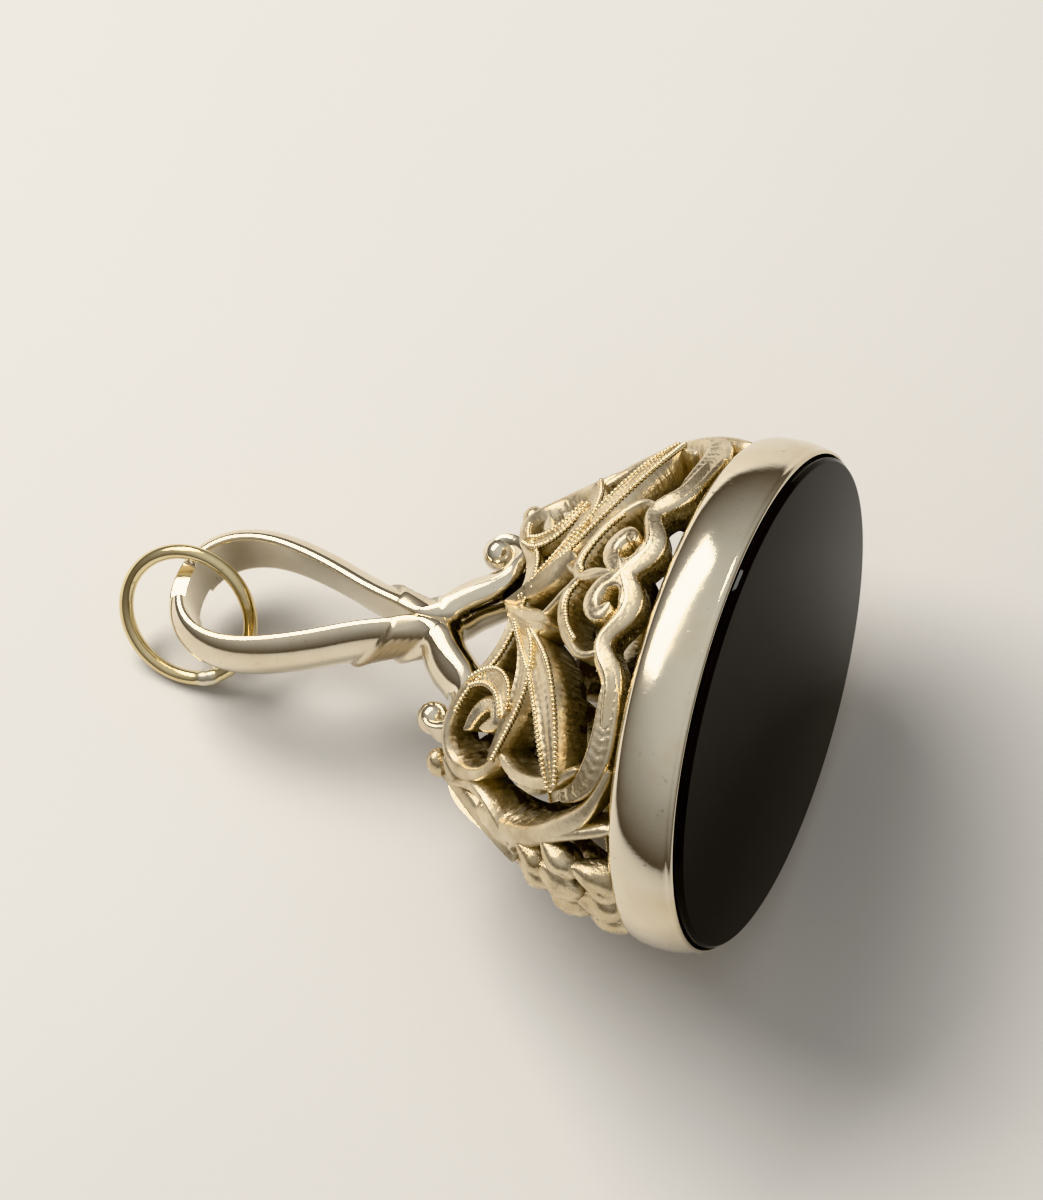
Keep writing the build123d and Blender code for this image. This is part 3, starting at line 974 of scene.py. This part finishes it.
def make_basket():
    """Pierced dome of scrolls, leaves and their grained edges"""
    scrolls = Piece("basket_scrolls")
    border = Piece("basket_border")
    leaves = Piece("basket_leaves")
    grains = Piece("basket_grains")
    beads = Piece("basket_beads")
    grain_lift = leaf_relief - grain_sink
    for face, shift in (("x", heart_shift), ("-x", -heart_shift)):
        for side in (1, -1):
            add_scroll(scrolls, SHOULDER_SCROLL, face, side, rib_width, (BAND, RIM), change=(0.30, 0.50))
            add_scroll(scrolls, LEAF_LINK, face, side, rib_width, (RIM,))
            add_scroll(scrolls, HEART_SCROLL, face, side, rib_width, (RIM,), shift=shift)
            add_scroll(scrolls, CORNER_SCROLL, face, side, rib_width, (RIM,))
            add_scroll(border, WAVY_BORDER, face, side, rib_width, (FACET,), shift=shift)
            add_scroll(border, VOLUTE, face, side, volute_wire, (FLAT,), shift=shift)
            add_scroll(border, LADDER_BAND, face, side, rib_width, (LADDER,), shift=shift)
            add_scroll(border, SMALL_VOLUTE, face, side, volute_wire, (ROD,), 0.3)
            add_scroll(leaves, UPPER_LEAF, face, side, leaf_width, (LEAF,))
            add_scroll(leaves, LOWER_LEAF, face, side, leaf_width, (LEAF,))
            add_scroll(leaves, INNER_CURL, face, side, curl_width, (LEAF,))
            add_rope(grains, UPPER_LEAF, face, side, leaf_width, -grain_side, grain_lift)
            for share in (-grain_side, grain_side):
                add_rope(grains, LOWER_LEAF, face, side, leaf_width, share, grain_lift)
                add_rope(grains, INNER_CURL, face, side, curl_width, share, grain_lift)
            add_rope(grains, SHOULDER_SCROLL, face, side, rib_width, -0.95, 0.08, start=0.6, stop=5.6)
            add_rope(grains, HEART_SCROLL, face, side, rib_width, -0.75, 0.02,
                     start=2.2, stop=1.6, shift=shift)
            add_scroll(scrolls, APEX_FOLD, face, side, rib_width, (CREASE,), -0.18)
            add_scroll(scrolls, STEM, face, side, rib_width, (RIM,), shift=shift)
        for across, up, size in BROAD_BEADS:
            add_ball(beads, face, (across + shift) * half_length,
                     collar_top + up * basket_height, ball_diameter * size / 2)
    for face in ("y", "-y"):
        add_scroll(scrolls, END_STRIP, face, 1, strip_width, (CREASE,))
        for side in (1, -1):
            add_scroll(scrolls, END_LEAF, face, side, rib_width, (RIM,))
            add_scroll(scrolls, END_SPRAY, face, side, rib_width, (RIM,))
        for number, berry in enumerate(END_BERRIES):
            add_berry(beads, face, berry, number)
        beads.ball(np.array([0, sign_of(face) * shoulder_ball_out, shoulder + shoulder_ball_rise]),
                   shoulder_ball_shape * ball_diameter)
    for piece, gold in ((scrolls, basket_gold), (leaves, basket_gold), (border, border_gold),
                        (grains, grain_gold), (beads, berry_gold)):
        piece.make(gold, "pale_gold", sharp_basket)


def lean(points):
    """Points of the bow, in Y and Z, turned about the neck as the loop leans"""
    points = np.array(points, float)
    angle = math.radians(bow_lean)
    above = points[:, 1] > neck
    y = points[above, 0]
    z = points[above, 1] - neck
    points[above, 0] = y * math.cos(angle) - z * math.sin(angle)
    points[above, 1] = neck + z * math.cos(angle) + y * math.sin(angle)
    return points


def strap_section():
    """Shares of a strap's half width and thickness: domed outside, flat inside, with round corners"""
    turns = np.linspace(-1, 1, strap_outer_points) * math.pi / 2
    rise = 1 - strap_edge
    outer = [(math.sin(t), strap_edge - 0.5 + rise * math.cos(t) ** crown_power) for t in turns]
    right = [(1.0, strap_edge - 0.60), (0.995, -0.36), (0.975, -0.45), (0.93, -0.495)]
    inner = [(-u, -0.50) for u in np.linspace(-0.86, 0.86, strap_inner_points)]
    left = [(-u, t) for u, t in reversed(right)]
    return np.array(outer + right + inner + left)


def fold(back, side):
    """Rise of a leaf that overlaps the strap: a rounded nose towards the tip, fading towards the foot"""
    nose = np.sqrt(np.clip(1 - (1 - np.clip(back / fold_nose, 0, 1)) ** 2, 0, 1))
    fade = np.exp(-np.clip(back - fold_nose, 0, None) / fold_fade)
    return fold_height * nose * fade * (1 - 0.15 * side)


def strap_relief(from_neck, x, side, outward):
    """Rise of the folds and of the fine lines between them, and a mask of those lines"""
    along = from_neck + x * math.tan(math.radians(fold_slant))
    bend = 0.10 * side ** 2 + 0.35 * np.clip(-side - 0.5, 0, 1) ** 2
    low, high = (share * bow_height * fold_run for share in FOLDS)
    folds = fold(low - along - bend, side) + fold(high - along - bend, side)
    between = smooth_step(along, low, low + 0.3) * smooth_step(-along, -high, -high + 0.2)
    between = between * smooth_step(-side, -0.85, -0.45) * outward
    broad, close = (math.tau * along / step for step in fold_line_steps)
    lines = np.sin(broad) + 0.5 * np.sin(close + 2 * side)
    return folds + fold_line_height * lines * between, between


def make_bow():
    """Pear-shaped loop of two straps with folded leaves, and a curled foot each"""
    table = [(out * foot_spread, shoulder + up * neck_height, crown, wide)
             for out, up, crown, wide in FOOT]
    at_neck = len(table) - 1
    table += [(out * bow_half_width, neck + up * bow_height, crown, wide)
              for out, up, crown, wide in LOOP]
    table += [(-y, z, crown, wide) for y, z, crown, wide in reversed(table[:-1])]
    table = np.array(table)
    rows = smooth_rows(table, bow_step)

    # Distances along the straps from the tip and from the neck
    run = run_of(rows[:, :2])[:, None]
    table_run = run_of(table[:, :2])
    middle = run[-1] / 2
    from_tip = np.abs(run - middle)
    from_neck = middle - from_tip - table_run[at_neck] / table_run[-1] * run[-1]

    # Places in the section: x across the strap, narrower at the tip's waist, and away from
    # its centre line
    side, away = strap_section().T[:, None]
    half = strap_width / 2 * rows[:, 3:]
    waist = waist_depth * smooth_step(waist_length / 2 - from_tip, -0.04, 0.04)
    x = np.clip(side * half, waist - half, half - waist)
    crown = rows[:, 2:3]
    oval = smooth_step(crown, *oval_crown) * (1 - np.clip(1 - side ** 2, 0, 1) ** 0.4)
    inside = away * (1 - oval) * np.clip(crown, 0, inner_crown)
    away = np.where(away > 0, away * crown, inside) * strap_thickness

    outward = smooth_step(away, -0.30, 0.0)
    raised, between = strap_relief(from_neck, x, side, outward)
    away = away + raised * outward
    x = x * (1 + 0.10 * raised)

    line = lean(rows[:, :2])
    ways = unit(np.gradient(line, axis=0))
    y = line[:, :1] + ways[:, 1:] * away
    z = line[:, 1:] - ways[:, :1] * away
    bow = Piece("bow_loop")
    trails = np.stack([np.broadcast_to(run, x.shape), x, between], axis=-1)
    bow.grid(np.stack([x, y, z], axis=-1), trails)
    for end in (table[0], table[-1]):
        bow.ball(np.array([0, end[0], end[1]]), np.array([1.06, 1, 1]) * curl_diameter / 2)
    bow.make(bright_gold, "pale_gold", sharp_bow)


def make_ring():
    """Jump ring of round wire with a soldered joint"""
    radius = (ring_inner + ring_wire) / 2
    turns = np.linspace(0, math.tau, ring_steps, endpoint=False)[:, None]
    off = np.abs((turns - math.radians(joint_turn) + math.pi) % math.tau - math.pi) * radius
    solder = smooth_step(joint_length / 2 - off, 0, joint_blend)
    wire = ring_wire / 2 + (joint_wire - ring_wire) / 2 * solder
    spins = np.linspace(0, math.tau, ring_around, endpoint=False)
    reach = radius + wire * np.cos(spins)
    points = np.stack([reach * np.cos(turns), reach * np.sin(turns), wire * np.sin(spins)], axis=-1)
    hang = lean([(-ring_side, tip - ring_inset)])[0]
    turned = np.array(Matrix.Translation((-ring_drop, hang[0], hang[1]))
                      @ Matrix.Rotation(math.radians(-ring_roll), 4, "Z")
                      @ Matrix.Rotation(math.radians(90 + ring_pitch), 4, "Y"))
    trails = np.zeros(points.shape)
    trails[..., 2] = solder
    piece = Piece("link_ring")
    piece.grid(points @ turned[:3, :3].T + turned[:3, 3], trails, ring=True)
    ring = piece.make(link_gold, "yellow_gold", sharp_ring)
    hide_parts("jump_ring")


make_collar()
make_stone()
make_basket()
make_bow()
make_ring()

# Floor
floor_size = 1.6
floor_mesh = bpy.data.meshes.new("floor")
corner = floor_size / 2
corners = [(-corner, -corner, 0), (corner, -corner, 0), (corner, corner, 0), (-corner, corner, 0)]
floor_mesh.from_pydata(corners, [], [(0, 1, 2, 3)])
floor = bpy.data.objects.new("floor", floor_mesh)
bpy.context.scene.collection.objects.link(floor)
paint = Paint("floor_pale")
mottle = paint.noise(paint.place(), floor_mottle, 3.0, 0.5)
pale = paint.mix(mottle, (0.61, 0.592, 0.566, 1), (0.66, 0.642, 0.616, 1))
paint.set(Base_Color=pale, Roughness=0.6)
floor_mesh.materials.append(paint.material)

# Studio light: a long soft panel to the left
key_place = Vector((-0.25, 0.12, 0.30))
key_aim = Vector((0.0, 0.0, 0.008))
key_power = 2.1
lamp = bpy.data.lights.new("key", "AREA")
lamp.shape = "RECTANGLE"
lamp.size = 0.34
lamp.size_y = 0.15
lamp.energy = key_power
lamp.color = (1.0, 0.97, 0.93)
key = bpy.data.objects.new("key", lamp)
key.location = key_place
key.rotation_euler = (key_aim - key_place).to_track_quat("-Z", "Y").to_euler()
bpy.context.scene.collection.objects.link(key)

# Warm surround that brightens from the horizon, at nought, to overhead, at one
surround_strength = 0.70
SURROUND = [
    (0.00, (0.14, 0.115, 0.095, 1)),
    (0.25, (0.33, 0.30, 0.27, 1)),
    (0.50, (0.52, 0.50, 0.47, 1)),
    (0.80, (0.80, 0.79, 0.77, 1)),
    (1.00, (0.90, 0.90, 0.89, 1)),
]
world = bpy.data.worlds.new("studio")
bpy.context.scene.world = world
world.use_nodes = True
tree = world.node_tree
way = tree.nodes.new("ShaderNodeTexCoord")
split = tree.nodes.new("ShaderNodeSeparateXYZ")
ramp = tree.nodes.new("ShaderNodeValToRGB")
tree.links.new(way.outputs["Generated"], split.inputs[0])
tree.links.new(split.outputs[2], ramp.inputs[0])
while len(ramp.color_ramp.elements) < len(SURROUND):
    ramp.color_ramp.elements.new(0.5)
for element, (stop, colour) in zip(ramp.color_ramp.elements, SURROUND):
    element.position = stop
    element.color = colour
backdrop = tree.nodes["Background"]
tree.links.new(ramp.outputs[0], backdrop.inputs["Color"])
backdrop.inputs["Strength"].default_value = surround_strength
bpy.context.scene.view_settings.view_transform = "Khronos PBR Neutral"
bpy.context.scene.view_settings.look = "None"

# Camera at the photograph's angle: its place, and its turn about the vertical, its look
# down from level and its roll, in degrees
camera_place = (0.0268705, -0.0583823, 0.1499114)
camera_turn = 22.5226
camera_fall = 65.3894
camera_roll = -2.8919
camera_lens = 108.0

camera = bpy.data.cameras.new("camera")
camera.lens = camera_lens
camera.sensor_width = 36.0
camera.clip_start = 0.005
eye = bpy.data.objects.new("camera", camera)
bpy.context.scene.collection.objects.link(eye)
eye.matrix_world = (Matrix.Translation(camera_place)
                    @ Matrix.Rotation(math.radians(camera_turn), 4, "Z")
                    @ Matrix.Rotation(math.radians(90 - camera_fall), 4, "X")
                    @ Matrix.Rotation(math.radians(camera_roll), 4, "Z"))
bpy.context.scene.camera = eye
